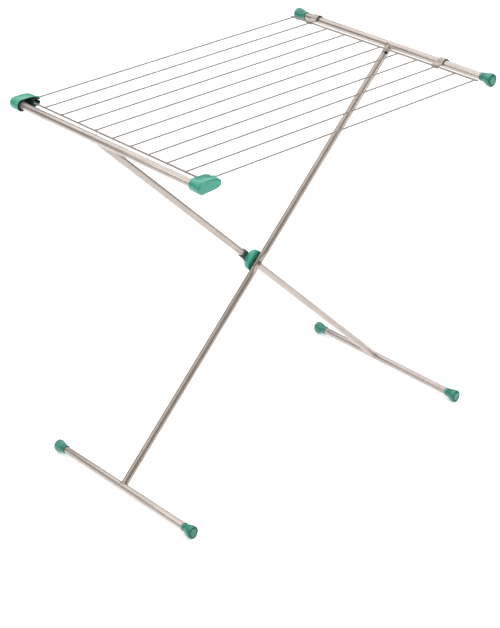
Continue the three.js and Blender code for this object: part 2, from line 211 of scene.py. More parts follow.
def along(start: Vector, end: Vector) -> Matrix:
    """A place whose +Z runs from start towards end, and whose +X lies in the XZ plane.

    Args:
        start: The origin.
        end: A point on +Z.

    Returns:
        The place's matrix.
    """
    z = (end - start).normalized()
    side = Vector((0, 1, 0)) if abs(z.y) < 0.9 else Vector((0, 0, 1))
    x = side.cross(z).normalized()
    y = z.cross(x)
    turn = Matrix((x, y, z)).transposed().to_4x4()
    return Matrix.Translation(start) @ turn


def copied(piece: bpy.types.Object, name: str, matrix: Matrix) -> bpy.types.Object:
    """A copy with its own mesh, moved by a matrix; a mirrored copy has its faces turned back.

    Args:
        piece: What is copied.
        name: The copy's name.
        matrix: How it is moved.

    Returns:
        The copy.
    """
    only(piece)
    bpy.ops.object.duplicate(linked=False)
    copy = started(name)
    copy.data.transform(matrix)
    if matrix.determinant() < 0:
        copy.data.flip_normals()
    return copy


def combine(piece: bpy.types.Object, other: bpy.types.Object, how: str) -> None:
    """Join or cut a piece with another, which is used up.

    Args:
        piece: The piece that is kept.
        other: The tool.
        how: "UNION", "DIFFERENCE" or "INTERSECT".
    """
    only(piece)
    modifier = piece.modifiers.new("combine", "BOOLEAN")
    modifier.operation = how
    modifier.solver = "EXACT"
    modifier.object = other
    bpy.ops.object.modifier_apply(modifier=modifier.name)
    bpy.data.objects.remove(other, do_unlink=True)


def soften(piece: bpy.types.Object, width: float, steps: int, degrees: float = 40) -> None:
    """Round the sharp edges of a piece.

    Args:
        piece: The object.
        width: The rounding, in millimetres.
        steps: How many faces it has.
        degrees: Edges sharper than this are rounded.
    """
    only(piece)
    modifier = piece.modifiers.new("soften", "BEVEL")
    modifier.width = width * MM
    modifier.segments = steps
    modifier.limit_method = "ANGLE"
    modifier.angle_limit = math.radians(degrees)
    modifier.use_clamp_overlap = True
    bpy.ops.object.modifier_apply(modifier=modifier.name)


def smooth(piece: bpy.types.Object, degrees: float = 35) -> None:
    """Shade smooth, keeping edges sharper than the angle."""
    only(piece)
    bpy.ops.object.shade_smooth_by_angle(angle=math.radians(degrees))


def dress(
    piece: bpy.types.Object, body: Body, slot: Slot, finish: bpy.types.Material, *nodes: str
) -> bpy.types.Object:
    """Give a finished piece its body, slot, material and the CAD nodes it stands for.

    Args:
        piece: The object.
        body: What it moves with.
        slot: Not used.
        finish: Its material.
        nodes: The CAD nodes it replaces.

    Returns:
        The same object.
    """
    piece.data.materials.clear()
    piece.data.materials.append(finish)
    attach(piece, body.value)
    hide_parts(*nodes)
    log.info("%s: %d faces, rides %s", piece.name, len(piece.data.polygons), body.value)
    return piece


def two_toned(
    piece: bpy.types.Object, finish: bpy.types.Material, test: Callable[[Vector, Vector], bool]
) -> None:
    """Give the faces of a dressed piece that pass a test a second finish.

    Args:
        piece: The dressed object.
        finish: The second finish.
        test: Takes a face's middle, in metres, and its normal.
    """
    piece.data.materials.append(finish)
    count = 0
    for face in piece.data.polygons:
        if test(face.center, face.normal):
            face.material_index = 1
            count += 1
    log.info("%s: %d faces in %s", piece.name, count, finish.name)


def encloses(outline: Sequence[tuple[float, float]], x: float, z: float) -> bool:
    """Whether a point lies inside a closed outline, by counting the edges that a line crosses.

    Args:
        outline: (x, z) points in order.
        x: The point's x.
        z: The point's z.

    Returns:
        True inside.
    """
    crossed = False
    for (x1, z1), (x2, z2) in zip(outline, (*outline[1:], outline[0])):
        if (z1 > z) != (z2 > z) and x < x1 + (z - z1) / (z2 - z1) * (x2 - x1):
            crossed = not crossed
    return crossed


# ---- Materials ---------------------------------------------------------------------------------
def linear(colour: str) -> tuple[float, float, float, float]:
    """An sRGB hex colour as linear RGBA.

    Args:
        colour: Six hex digits after a hash.

    Returns:
        Linear red, green, blue and alpha.
    """
    parts = [int(colour[i : i + 2], 16) / 255 for i in (1, 3, 5)]
    red, green, blue = (p / 12.92 if p <= 0.04045 else ((p + 0.055) / 1.055) ** 2.4 for p in parts)
    return (red, green, blue, 1.0)


def add_node(
    tree: bpy.types.NodeTree, kind: str, settings: dict | None = None, inputs: dict | None = None
) -> bpy.types.Node:
    """Add a shader node with its settings, values and links.

    Args:
        tree: The material's nodes.
        kind: The node's type name.
        settings: Attributes to set on the node.
        inputs: Input name or number to a value, or to the output socket that feeds it.

    Returns:
        The node.
    """
    node = tree.nodes.new(kind)
    for key, value in (settings or {}).items():
        setattr(node, key, value)
    for key, value in (inputs or {}).items():
        if isinstance(value, bpy.types.NodeSocket):
            tree.links.new(value, node.inputs[key])
        else:
            node.inputs[key].default_value = value
    return node


@dataclass(frozen=True)
class Finish:
    """A painted or moulded surface: an even colour with mottle, fine relief and uneven gloss."""

    name: str
    colour: str
    shade: str  # the darker colour that the mottle drifts to
    roughness: float
    relief_mm: float  # size of the fine relief
    relief: float  # its strength
    mottle_mm: float  # size of the colour's drift
    coat: float = 0.0
    ior: float = 1.5
    metallic: float = 0.0
    soft_light: float = 0.0  # how much light passes under the surface
    streak: tuple[float, float, float] = (1, 1, 1)  # stretch of the relief along X, Y and Z

    def material(self) -> bpy.types.Material:
        """Build the node material.

        Returns:
            The material.
        """
        material = bpy.data.materials.new(self.name)
        material.use_nodes = True
        tree = material.node_tree
        tree.nodes.clear()
        where = add_node(tree, "ShaderNodeTexCoord").outputs["Object"]
        drift = add_node(
            tree,
            "ShaderNodeTexNoise",
            inputs={"Vector": where, "Scale": 1000 / self.mottle_mm, "Detail": 3.0, "Roughness": 0.55},
        )
        mottle = add_node(
            tree,
            "ShaderNodeMapRange",
            inputs={"Value": drift.outputs["Fac"], "From Min": 0.35, "From Max": 0.75},
        )
        tint = add_node(
            tree,
            "ShaderNodeMix",
            {"data_type": "RGBA"},
            {0: mottle.outputs["Result"], 6: linear(self.colour), 7: linear(self.shade)},
        )
        stretched = add_node(tree, "ShaderNodeMapping", inputs={"Vector": where, "Scale": self.streak})
        grain = add_node(
            tree,
            "ShaderNodeTexNoise",
            inputs={
                "Vector": stretched.outputs["Vector"],
                "Scale": 1000 / self.relief_mm,
                "Detail": 4.0,
                "Roughness": 0.6,
            },
        )
        gloss = add_node(
            tree,
            "ShaderNodeMapRange",
            inputs={
                "Value": grain.outputs["Fac"],
                "To Min": self.roughness * 0.82,
                "To Max": self.roughness * 1.25,
            },
        )
        bump = add_node(
            tree,
            "ShaderNodeBump",
            inputs={
                "Height": grain.outputs["Fac"],
                "Strength": self.relief,
                "Distance": self.relief_mm * 0.06 * MM,
            },
        )
        shader = add_node(
            tree,
            "ShaderNodeBsdfPrincipled",
            inputs={
                "Base Color": tint.outputs[2],
                "Roughness": gloss.outputs["Result"],
                "Normal": bump.outputs["Normal"],
                "Metallic": self.metallic,
                "IOR": self.ior,
                "Coat Weight": self.coat,
                "Coat Roughness": 0.12,
                "Subsurface Weight": self.soft_light,
                "Subsurface Radius": (0.9 * MM, 2.2 * MM, 1.6 * MM),
            },
        )
        shader.inputs["Subsurface Scale"].default_value = 1.0
        add_node(tree, "ShaderNodeOutputMaterial", inputs={"Surface": shader.outputs["BSDF"]})
        return material


# Stoved pearl enamel on drawn steel tube: fine metal flake under a glassy skin, which mirrors the
# room as long pale and dark lines down the tube, with a slight orange peel.
PEARL_ENAMEL = Finish(
    name="stoved_enamel_pearl", colour="#b5aba4", shade="#a89e97", roughness=0.27,
    relief_mm=2.4, relief=0.22, mottle_mm=60, coat=0.35, metallic=0.72,
)
# The outer leg's enamel is a darker batch with more flake, so the tube reads grey-brown.
GREY_ENAMEL = Finish(
    name="stoved_enamel_grey", colour="#a3988f", shade="#958980", roughness=0.25,
    relief_mm=2.4, relief=0.22, mottle_mm=60, coat=0.35, metallic=0.75,
)
# Dipped enamel on thin drawn wire: a little darker and duller, with a soft drawn line along it.
WIRE_ENAMEL = Finish(
    name="dipped_enamel_wire", colour="#8f867f", shade="#7f766f", roughness=0.38,
    relief_mm=1.2, relief=0.25, mottle_mm=25, coat=0.2, streak=(0.15, 1, 1),
)
# Injection-moulded polypropylene: saturated sea green, waxy gloss, light bleeding under the skin.
GREEN_PLASTIC = Finish(
    name="moulded_polypropylene_green", colour="#2a9e85", shade="#238a73", roughness=0.28,
    relief_mm=0.8, relief=0.18, mottle_mm=14, coat=0.3, soft_light=0.05, ior=1.49,
)
# The end caps are a darker green than the other green parts, with stronger streaks of a darker green.
GREEN_CAPS = Finish(
    name="moulded_polypropylene_deep_green", colour="#1f8f78", shade="#0f5c4b", roughness=0.26,
    relief_mm=0.8, relief=0.2, mottle_mm=16, coat=0.25, soft_light=0.05, ior=1.49,
)
# Painted shade: the green plastic made dark and dull where shade falls, in the caps' grooves and hollows, the
# hub's recess beside the leg and its sleeve.
GREEN_PAINTED_SHADE = Finish(
    name="polypropylene_green_painted_shade", colour="#0c3a30", shade="#082a22", roughness=0.6,
    relief_mm=0.6, relief=0.4, mottle_mm=9, ior=1.49,
)
# Injection-moulded nylon in the tubes' colour: paler in its gloss than the enamel, a fine etched skin.
CLIP_NYLON = Finish(
    name="moulded_nylon_beige", colour="#b0a69e", shade="#a0968e", roughness=0.45,
    relief_mm=0.7, relief=0.3, mottle_mm=10, soft_light=0.08, ior=1.53,
)
# Painted shade: the nylon made almost black and rough in the clips' cored-out ends and on the faces against
# the bar.
NYLON_PAINTED_SHADE = Finish(
    name="nylon_beige_painted_shade", colour="#2b2521", shade="#201b18", roughness=0.65,
    relief_mm=0.6, relief=0.4, mottle_mm=9, ior=1.53,
)
# Zinc-plated steel: dull grey metal with a faint turned grain and brownish passivation.
ZINC_STEEL = Finish(
    name="zinc_plated_steel", colour="#8b8078", shade="#6f645d", roughness=0.42,
    relief_mm=0.5, relief=0.35, mottle_mm=4, metallic=0.9,
)


# ---- Shared shapes -----------------------------------------------------------------------------
def lofted(name: str, rings: Sequence[Sequence[Vector]]) -> bpy.types.Object:
    """A closed solid through rings of points, each with the same number of points.

    Args:
        name: The piece's name.
        rings: The rings, in metres, from the first end face to the last.

    Returns:
        The solid.
    """
    free_hands()
    bpy.ops.mesh.primitive_circle_add(vertices=len(rings[0]), radius=MM, fill_type="NGON")
    piece = started(name)
    for vertex, point in zip(piece.data.vertices, rings[0]):
        vertex.co = point
    bpy.ops.object.mode_set(mode="EDIT")
    bpy.ops.mesh.select_mode(type="FACE")
    bpy.ops.mesh.select_all(action="SELECT")
    mesh = bmesh.from_edit_mesh(piece.data)
    mesh.verts.ensure_lookup_table()
    order = list(range(len(rings[0])))
    for ring in rings[1:]:
        old = {index: mesh.verts[vertex].co.copy() for index, vertex in enumerate(order)}
        bpy.ops.mesh.extrude_region_move(TRANSFORM_OT_translate={"value": (0, 0, 0)})
        mesh = bmesh.from_edit_mesh(piece.data)
        mesh.verts.ensure_lookup_table()
        new = [vertex for vertex in mesh.verts if vertex.select]
        places = {tuple(round(value, 7) for value in vertex.co): vertex for vertex in new}
        order = []
        for index, point in enumerate(ring):
            vertex = places[tuple(round(value, 7) for value in old[index])]
            order.append(vertex.index)
            vertex.co = point
        bmesh.update_edit_mesh(piece.data)
    bpy.ops.mesh.select_all(action="SELECT")
    bpy.ops.mesh.normals_make_consistent(inside=False)
    bpy.ops.object.mode_set(mode="OBJECT")
    return piece


def rod_between(name: str, start: Vector, end: Vector, radius: float, sides: int = ROUND) -> bpy.types.Object:
    """A plain round rod used as a cutter or a core.

    Args:
        name: Its name.
        start: One end, in metres.
        end: The other end, in metres.
        radius: Its radius, in millimetres.
        sides: Points round it.

    Returns:
        The rod.
    """
    length = (end - start).length / MM
    return place(turned(name, [(0, radius), (length, radius)], sides), along(start, end))


def smoothstep(value: float, low: float, high: float) -> float:
    """A smooth rise from 0 at low to 1 at high."""
    share = min(max((value - low) / (high - low), 0.0), 1.0)
    return share * share * (3 - 2 * share)


# ---- Tubes -------------------------------------------------------------------------------------
@dataclass
class TubeFrame:
    """The legs and bars: open steel tubes, with a weld bead where a leg meets a bar."""

    pearl: bpy.types.Material
    grey: bpy.types.Material
    bar_radius: float = 10.0
    leg_radius: float = 9.5
    wall: float = 1.2
    bead_radius: float = 1.5
    bead_ripples: int = 30
    bead_depth: float = 0.1  # how deep a ripple is, as a share of the bead
    press_share: float = 0.6
    press_length: float = 46.0
    press_rings: int = 24
    press_spread: float = 0.55
    hole_radius: float = 3.3
    vent_radius: float = 3.6
    vent_drop: float = 21.0
    vent_angle: float = 228.0

    def shell(self, name: str, length: float, radius: float) -> bpy.types.Object:
        """An open tube standing on the origin, its wall not yet given its thickness.

        Args:
            name: Its name.
            length: In millimetres.
            radius: Outside, in millimetres.

        Returns:
            The tube's outer skin.
        """
        free_hands()
        bpy.ops.mesh.primitive_cylinder_add(
            vertices=ROUND, radius=radius * MM, depth=length * MM, end_fill_type="NOTHING",
            location=(0, 0, length * MM / 2),
        )
        piece = started(name)
        return place(piece, Matrix.Identity(4))

    def thicken(self, piece: bpy.types.Object) -> None:
        """Give an open skin its wall, inwards."""
        only(piece)
        modifier = piece.modifiers.new("wall", "SOLIDIFY")
        modifier.thickness = self.wall * MM
        modifier.offset = -1
        bpy.ops.object.modifier_apply(modifier=modifier.name)

    def bar(self, node: str, body: Body) -> None:
        """A bar along Y in place of its CAD node.

        Args:
            node: The bar's name.
            body: The frame that it belongs to.
        """
        centre, half = middle(node), span(node).y / 2
        piece = self.shell(node, 2 * half / MM, self.bar_radius)
        self.thicken(piece)
        soften(piece, 0.35, 2, 60)
        start = Vector((centre.x, -half, centre.z))
        place(piece, along(start, start + Vector((0, 1, 0))))
        smooth(piece)
        dress(piece, body, Slot.PEARL, self.pearl, node)

    def saddle(self, across: float) -> float:
        """How far from a bar's axis a point of a leg's end stands, in millimetres."""
        return math.sqrt(max(self.bar_radius**2 - across**2, 0.0))

    def bead(self, name: str, height: float, way: int) -> bpy.types.Object:
        """The weld bead round a leg's end, which follows the bar's surface.

        Args:
            name: Its name.
            height: The bar's axis along the leg, in millimetres.
            way: +1 where the leg leaves upwards, -1 where it arrives.

        Returns:
            The bead, in the leg's own place.
        """
        free_hands()
        bpy.ops.mesh.primitive_torus_add(
            major_segments=90, minor_segments=12,
            major_radius=(self.leg_radius + 0.1) * MM, minor_radius=self.bead_radius * MM,
        )
        piece = started(name)
        for vertex in piece.data.vertices:
            x, y, z = vertex.co / MM
            angle = math.atan2(y, x)
            ripple = 1 + self.bead_depth * math.sin(self.bead_ripples * angle)
            ring = self.leg_radius + 0.1
            distance = math.hypot(x, y)
            radius = ring + (distance - ring) * ripple
            rise = way * self.saddle(min(abs(radius * math.cos(angle)), self.bar_radius))
            out = Vector((radius * math.cos(angle), radius * math.sin(angle), height + rise + z * ripple))
            vertex.co = out * MM
        return piece

    def leg(self, node: str, body: Body, foot: str, top: str, slot: Slot, pressed: bool) -> None:
        """A leg from its foot bar to its top bar.

        Args:
            node: The leg's name.
            body: The frame that it belongs to.
            foot: Its foot bar's node.
            top: Its top bar's node.
            slot: Its material slot.
            pressed: Whether the tube is pressed flat at the pivot.
        """
        y = middle(node).y
        start = Vector((middle(foot).x, y, middle(foot).z))
        end = Vector((middle(top).x, y, middle(top).z))
        length = (end - start).length / MM
        piece = self.shell(node, length, self.leg_radius)
        bolt = pivot_place()
        pivot = (Vector((bolt.x, y, bolt.z)) - start).length / MM
        if pressed:
            self.press(piece, pivot)
        for vertex in piece.data.vertices:
            x, _, z = vertex.co / MM
            if z < 1:
                vertex.co.z = self.saddle(min(abs(x), self.bar_radius)) * MM
            elif z > length - 1:
                vertex.co.z = (length - self.saddle(min(abs(x), self.bar_radius))) * MM
        self.thicken(piece)
        beads = [self.bead(f"{node}_bead_foot", 0, 1), self.bead(f"{node}_bead_top", length, -1)]
        # The leg's own X lies in the plane of the legs, so that its saddle fits a bar along Y.
        spot = along(start, end)
        place(piece, spot)
        for bead in beads:
            place(bead, spot)
        if pressed:
            reach = Vector((0, 60 * MM, 0))
            hole = rod_between("hole", bolt - reach, bolt + reach, self.hole_radius, 32)
            combine(piece, hole, "DIFFERENCE")
            # A vent hole near the top weld lets the hot gas out when the closed frame is enamelled.
            turn = math.radians(self.vent_angle)
            vent = end - (end - start).normalized() * self.vent_drop * MM
            out = vent + Vector((math.cos(turn), math.sin(turn), 0)) * 0.03
            combine(piece, rod_between("vent", vent, out, self.vent_radius, 32), "DIFFERENCE")
        only(piece)
        for bead in beads:
            bead.select_set(True)
        bpy.ops.object.join()
        smooth(piece, 50)
        finish = self.pearl if slot is Slot.PEARL else self.grey
        dress(piece, body, slot, finish, node)

    def press(self, piece: bpy.types.Object, pivot: float) -> None:
        """Press the tube flat at the pivot, where its sides spread.

        Args:
            piece: The tube's skin, standing on the origin.
            pivot: The pivot's height along it, in millimetres.
        """
        only(piece)
        reach = 0.75 * self.press_length
        bpy.ops.object.mode_set(mode="EDIT")
        for step in range(self.press_rings + 1):
            height = pivot + (2 * step / self.press_rings - 1) * reach
            bpy.ops.mesh.select_all(action="SELECT")
            bpy.ops.mesh.bisect(plane_co=(0, 0, height * MM), plane_no=(0, 0, 1))
        bpy.ops.object.mode_set(mode="OBJECT")
        for vertex in piece.data.vertices:
            share = 1 - smoothstep(abs(vertex.co.z / MM - pivot), 0.2 * self.press_length, reach)
            vertex.co.x *= 1 + (1 - self.press_share) * self.press_spread * share
            vertex.co.y *= 1 - (1 - self.press_share) * share

    def build(self) -> None:
        """Model both frames' tubes."""
        self.bar("outer_foot_bar", Body.OUTER)
        self.bar("hook_bar", Body.OUTER)
        self.bar("inner_foot_bar", Body.INNER)
        self.bar("hinge_bar", Body.INNER)
        self.leg("outer_leg", Body.OUTER, "outer_foot_bar", "hook_bar", Slot.GREY, True)
        self.leg("inner_leg", Body.INNER, "inner_foot_bar", "hinge_bar", Slot.PEARL, False)


# ---- End caps ----------------------------------------------------------------------------------
@dataclass
class EndCaps:
    """The flared caps on the ends of the hook bar and the foot bars."""

    green: bpy.types.Material
    # The dark green that paints shade into the grooves.
    inside: bpy.types.Material
    length: float = 38.0
    end_wall: float = 4.0
    socket: float = 10.3
    collar: float = 11.6
    collar_length: float = 11.0
    flare: float = 16.3
    lobe: float = 19.7
    floor: float = 19.0
    end_round: float = 5.0
    groove_out: float = 12.3
    groove_in: float = 11.1
    groove_depth: float = 1.8
    flare_steps: int = 12
    end_steps: int = 7

    def profile(self) -> list[tuple[float, float]]:
        """The cap's rings, from the socket's floor over the rim to the end face.

        Returns:
            (distance from the open end, radius), in millimetres.
        """
        rings = [(self.length - self.end_wall, self.socket), (0.9, self.socket), (0.2, self.socket + 0.35)]
        rings += [(0.0, self.collar - 0.6), (0.25, self.collar - 0.15), (0.8, self.collar)]
        # A fine groove marks where the flare begins.
        groove = self.collar_length - 1.6
        rings += [(groove, self.collar), (groove + 0.3, self.collar - 0.35)]
        rings += [(groove + 0.9, self.collar - 0.35), (groove + 1.2, self.collar)]
        end = self.length - self.end_round
        for step in range(1, self.flare_steps + 1):
            share = step / self.flare_steps
            rise = math.sin(share * math.pi / 2)
            along_cap = self.collar_length + share * (end - self.collar_length)
            rings.append((along_cap, self.collar + (self.flare - self.collar) * rise))
        for step in range(1, self.end_steps + 1):
            angle = math.radians(90 * step / self.end_steps)
            rings.append((end + self.end_round * math.sin(angle), self.flare - 3.6 * (1 - math.cos(angle))))
        # A deep groove runs round the end face, just inside its rim.
        rings += [(self.length, self.groove_out), (self.length - self.groove_depth, self.groove_out - 0.3)]
        rings += [(self.length - self.groove_depth, self.groove_in + 0.3)]
        rings += [(self.length - 0.3, self.groove_in)]
        rings += [(self.length, self.groove_in - 0.7), (self.length, 0.6)]
        return rings

    def master(self) -> bpy.types.Object:
        """One cap on the origin, its open end at 0 and its closed end towards +Y.

        Returns:
            The cap.
        """
        cap = turned("end_cap", self.profile(), 72)
        place(cap, Matrix.Rotation(math.radians(-90), 4, "X"))
        for vertex in cap.data.vertices:
            x, y, z = vertex.co / MM
            outside = math.hypot(x, z) > self.socket + 0.5 or y > self.length - self.end_wall + 0.1
            if z < 0 and outside:
                share = smoothstep(y, self.collar_length, self.length - 10)
                z *= 1 + (self.lobe / self.flare - 1) * share
            # The lobe ends in a small flat, which stands on the floor.
            vertex.co.z = max(z, -self.floor) * MM
        return cap

    def build(self) -> None:
        """Model one cap and place the six copies."""
        master = self.master()
        for bar, body in (("outer_foot", Body.OUTER), ("inner_foot", Body.INNER), ("hook_bar", Body.OUTER)):
            for end, side in (("near", -1), ("far", 1)):
                name = f"{bar}_cap_{end}"
                axis = middle(f"{bar}_bar" if bar.endswith("foot") else bar)
                low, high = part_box(name)
                mouth = high[1] if side < 0 else low[1]
                spot = Matrix.Translation((axis.x, mouth, axis.z)) @ Matrix.Scale(side, 4, (0, 1, 0))
                cap = copied(master, name, spot)
                smooth(cap, 30)
                dress(cap, body, Slot.GREEN, self.green, name)

                def hollow(centre: Vector, normal: Vector, mouth: float = mouth) -> bool:
                    """Whether a face lies in a groove's floor or walls, where shade is painted."""
                    depth = abs(centre.y - mouth) / MM
                    in_end = self.length - self.groove_depth - 0.1 < depth < self.length - 0.1
                    radius = math.hypot(centre.x - axis.x, centre.z - axis.z) / MM
                    step = self.collar_length - 1.6
                    in_step = step < depth < step + 1.2 and radius < self.collar
                    return (in_end and radius < self.groove_out + 2.6) or in_step

                # The grooves' floors and walls get the dark green as painted shade.
                two_toned(cap, self.inside, hollow)
        bpy.data.objects.remove(master, do_unlink=True)


# ---- Corner caps -------------------------------------------------------------------------------
@dataclass
class CornerCaps:
    """The caps that hold the grid's corners and turn on the hinge bar."""

    green: bpy.types.Material
    # The dark green that paints shade into the hollow.
    inside: bpy.types.Material
    radius: float = 16.0
    reach: float = 54.0
    wall: float = 2.5
    edge: float = 5.0
    boss: float = 4.8
    boss_length: float = 7.0
    bore: float = 10.3
    wire_hole: float = 2.35
    rod_hole: float = 2.85

    def outline(self, inset: float) -> list[tuple[float, float]]:
        """The cap's side outline about the hinge bar's axis, drawn in by an inset.

        Args:
            inset: In millimetres.

        Returns:
            (x, z) points in order.
        """
        radius, end = self.radius - inset, self.reach - inset
        points = [
            (radius * math.cos(angle), radius * math.sin(angle))
            for angle in (math.radians(90 + 180 * step / 28) for step in range(29))
        ]
        low, right = Vector((32, -radius + 1.5)), Vector((end, -5 + inset / 2))
        bend = Vector((end, -radius + 3.5))
        for step in range(11):
            t = step / 10
            point = low * (1 - t) ** 2 + bend * 2 * t * (1 - t) + right * t**2
            points.append((point.x, point.y))
        controls = [
            Vector((end, 3.5 - inset / 2)), Vector((end - 1.5, 9 - inset)),
            Vector((40 - inset, radius)), Vector((20, radius)),
        ]
        for step in range(17):
            t = step / 16
            weights = ((1 - t) ** 3, 3 * t * (1 - t) ** 2, 3 * t**2 * (1 - t), t**3)
            point = sum((c * w for c, w in zip(controls, weights)), Vector((0, 0)))
            points.append((point.x, point.y))
        return points

    def shell(self, name: str, depth: float) -> bpy.types.Object:
        """The hollow body: its mouth at 0, its closed side at depth along +Y.

        Args:
            name: Its name.
            depth: In millimetres.

        Returns:
            The shell.
        """
        inner_edge = self.edge / 2
        steps = [(self.wall + inner_edge, depth - self.wall)]
        for k in range(1, 5):
            angle = math.radians(90 * k / 4)
            inset = self.wall + inner_edge * (1 - math.sin(angle))
            steps.append((inset, depth - self.wall - inner_edge * (1 - math.cos(angle))))
        steps += [(self.wall, 0.8), (self.wall - 0.3, 0.2), (self.wall - 0.8, 0)]
        steps += [(0.8, 0), (0.25, 0.25), (0, 0.8)]
        for k in range(9):
            angle = math.radians(90 * k / 8)
            steps.append((self.edge * (1 - math.cos(angle)), depth - self.edge * (1 - math.sin(angle))))
        rings = [[Vector((x, y, z)) * MM for x, z in self.outline(inset)] for inset, y in steps]
        return lofted(name, rings)

    def build_one(self, end: str, side: int) -> None:
        """Model one corner cap.

        Args:
            end: "near" or "far".
            side: -1 or +1 along Y.
        """
        name = f"corner_cap_{end}"
        bar = middle("hinge_bar")
        rod = (middle("hinge_rod").x - bar.x) / MM
        wire = abs(middle("wire_01" if side > 0 else "wire_11").y) / MM
        closed = max(abs(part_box(name)[0][1]), abs(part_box(name)[1][1])) / MM
        mouth = min(abs(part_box(name)[0][1]), abs(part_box(name)[1][1])) / MM + self.boss_length
        depth, wire_in = closed - mouth, wire - mouth
        bar_end = span("hinge_bar").y / 2 / MM + 1 - mouth

        def at(x: float, y: float, z: float) -> Vector:
            """A point about the hinge bar's axis, in millimetres, as metres."""
            return Vector((x, y, z)) * MM

        cap = self.shell(name, depth)
        combine(cap, rod_between("ring", at(0, 12, 0), at(0, depth - 1, 0), self.radius - 1.2), "UNION")
        block = [(14, -10), (self.reach - 1, -8), (self.reach - 1, 6), (14, 12)]
        combine(cap, slab("block", block, max(wire_in + 3.5, 16), depth - 1.2), "UNION")
        boss = rod_between("boss", at(rod, -self.boss_length, 0), at(rod, depth - 3, 0), self.boss, 32)
        combine(cap, boss, "UNION")
        tip = self.reach + self.boss_length
        combine(cap, rod_between("boss", at(rod, wire_in, 0), at(tip, wire_in, 0), self.boss, 32), "UNION")
        combine(cap, rod_between("bore", at(0, -20, 0), at(0, bar_end, 0), self.bore), "DIFFERENCE")
        rod_end = wire_in + 5
        hole = rod_between("hole", at(rod, -20, 0), at(rod, rod_end, 0), self.rod_hole, 32)
        combine(cap, hole, "DIFFERENCE")
        hole = rod_between("hole", at(rod, wire_in, 0), at(rod + 60, wire_in, 0), self.wire_hole, 32)
        combine(cap, hole, "DIFFERENCE")
        # The wire slides in from the mouth through a slot in the end wall.
        slot = [(rod + 5, -1.9), (rod + 60, -1.9), (rod + 60, 1.9), (rod + 5, 1.9)]
        combine(cap, slab("slot", slot, -20, wire_in), "DIFFERENCE")
        mirror = Matrix.Scale(side, 4, (0, 1, 0))
        cap.data.transform(Matrix.Translation((bar.x, side * mouth * MM, bar.z)) @ mirror)
        if side < 0:
            cap.data.flip_normals()
        smooth(cap, 32)
        dress(cap, Body.GRID, Slot.GREEN, self.green, name)
        skin = self.outline(1.0)

        def hollow(centre: Vector, normal: Vector) -> bool:
            """Whether a face lies within the hollow or on the boss in its mouth, where shade is painted."""
            inward = (abs(centre.y) / MM - mouth) < depth - self.wall
            return inward and encloses(skin, (centre.x - bar.x) / MM, (centre.z - bar.z) / MM)

        # The hollow and the boss in its mouth get the dark green as painted shade.
        two_toned(cap, self.inside, hollow)

    def build(self) -> None:
        """Model both corner caps."""
        self.build_one("near", -1)
        self.build_one("far", 1)


# ---- Grid --------------------------------------------------------------------------------------
@dataclass
class WireGrid:
    """The drying wires and the two cross rods that they are welded to."""

    enamel: bpy.types.Material
    wire_radius: float = 2.0
    rod_radius: float = 2.5
    weld_length: float = 3.0
    count: int = 11

    def wire_profile(self, length: float) -> list[tuple[float, float]]:
        """A wire whose ends spread into the weld on each rod.

        Args:
            length: Between the rods' axes, in millimetres.

        Returns:
            (height, radius) rings.
        """
        r = self.wire_radius
        weld = [(0.4, r * 0.9), (0.8, r * 1.24), (1.6, r * 1.22), (2.4, r * 1.12)]
        weld.append((self.weld_length + 1.2, r))
        near = [(h + self.rod_radius - 1.2, radius) for h, radius in weld]
        far = [(length - height, radius) for height, radius in reversed(near)]
        return near + [(length * share, r) for share in (0.25, 0.5, 0.75)] + far

    def build(self) -> None:
        """Model one wire and copy it, and model both rods."""
        start, end = middle("hinge_rod"), middle("hook_rod")
        length = (end.x - start.x) / MM
        master = turned("wire", self.wire_profile(length), 32)
        place(master, along(Vector((start.x, 0, start.z)), Vector((end.x, 0, end.z))))
        for number in range(1, self.count + 1):
            name = f"wire_{number:02d}"
            piece = copied(master, name, Matrix.Translation((0, middle(name).y, 0)))
            smooth(piece, 50)
            dress(piece, Body.GRID, Slot.WIRE, self.enamel, name)
        bpy.data.objects.remove(master, do_unlink=True)
        for name in ("hinge_rod", "hook_rod"):
            low, high = (Vector(corner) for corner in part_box(name))
            reach, r = (high.y - low.y) / MM, self.rod_radius
            profile = [(0, r - 0.6), (0.2, r - 0.25), (0.6, r), (reach - 0.6, r), (reach - 0.2, r - 0.25)]
            rod = turned(name, profile + [(reach, r - 0.6)], 32)
            centre = middle(name)
            foot = Vector((centre.x, low.y, centre.z))
            place(rod, along(foot, foot + Vector((0, 1, 0))))
            smooth(rod, 50)
            dress(rod, Body.GRID, Slot.WIRE, self.enamel, name)


